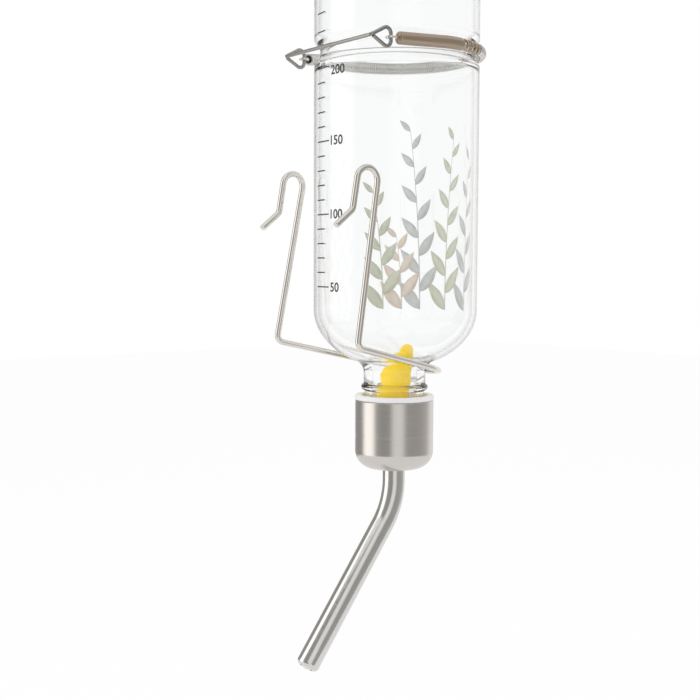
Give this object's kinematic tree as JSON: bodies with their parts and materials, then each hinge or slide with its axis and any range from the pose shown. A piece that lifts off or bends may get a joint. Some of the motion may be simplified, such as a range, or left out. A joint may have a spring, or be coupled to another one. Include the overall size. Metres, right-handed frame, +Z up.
{
  "type": "rabbit water bottle",
  "caption": "Glass water bottle for a rabbit, hung neck down in a wire hanger, with a spring strap, a steel screw cap, a bent sipper tube with a ball valve and a yellow level float.",
  "frame": {"origin": "centre of the hook arcs, midway between the two hooks of the hanger", "axes": "+X from the left hook to the right hook, +Y from the hooks to the bottle, +Z up"},
  "size_m": [0.0598, 0.072, 0.2386],
  "materials": {
    "hanger_steel": "polished",
    "clear_glass": "clear",
    "spring_steel": "polished",
    "link_steel": "polished",
    "gasket_rubber": "satin",
    "white_plastic": "satin",
    "cap_steel": "brushed",
    "grommet_rubber": "matte",
    "tube_steel": "polished",
    "ball_steel": "polished",
    "yellow_plastic": "glossy"
  },
  "bodies": {
    "hanger": {"hanger_wire": "hanger_steel"},
    "bottle": {"glass_bottle": "clear_glass"},
    "strap": {"strap_spring": "spring_steel"},
    "link": {"spring_link": "link_steel"},
    "gasket": {"lip_gasket": "gasket_rubber"},
    "cap": {"cap_shell": "cap_steel", "cap_liner": "white_plastic", "tube_grommet": "grommet_rubber"},
    "sipper": {"sipper_tube": "tube_steel", "tube_collar": "tube_steel"},
    "tip_ball": {"tip_ball": "ball_steel"},
    "upper_ball": {"upper_ball": "ball_steel"},
    "float": {"level_float": "yellow_plastic"}
  },
  "joints": [
    {"name": "bottle_lift", "type": "slide", "parent": "hanger", "child": "bottle", "axis": [0, 0, 1], "range_m": [0, 0.17]},
    {"name": "strap_turn", "type": "hinge", "parent": "bottle", "child": "strap", "pos_m": [0, 0.0291, 0.04411], "axis": [0, 0, 1], "continuous": true},
    {"name": "link_swing", "type": "hinge", "parent": "strap", "child": "link", "pos_m": [-0.0184, 0.00415, 0.04221], "axis": [0, 0, -1], "range_deg": [0, 110]},
    {"name": "cap_lower", "type": "slide", "parent": "bottle", "child": "gasket", "axis": [0, 0, -1], "range_m": [0, 0.0045]},
    {"name": "cap_turn", "type": "hinge", "parent": "gasket", "child": "cap", "pos_m": [0, 0.0291, -0.09549], "axis": [0, 0, -1], "range_deg": [0, 540]},
    {"name": "tube_swivel", "type": "hinge", "parent": "cap", "child": "sipper", "pos_m": [0, 0.0291, -0.09549], "axis": [0, 0, 1], "continuous": true},
    {"name": "tip_ball_lift", "type": "slide", "parent": "sipper", "child": "tip_ball", "axis": [0, 0.6088, 0.7934], "range_m": [0, 0.002]},
    {"name": "upper_ball_lift", "type": "slide", "parent": "sipper", "child": "upper_ball", "axis": [0, 0.6088, 0.7934], "range_m": [0, 0.002]},
    {"name": "float_rise", "type": "slide", "parent": "bottle", "child": "float", "axis": [0, 0, 1], "range_m": [0, 0.12]}
  ],
  "couplings": [
    {"joint": "cap_lower", "follows": "cap_turn", "m_per_rad": 0.00047746},
    {"joint": "upper_ball_lift", "follows": "tip_ball_lift", "ratio": 1}
  ]
}
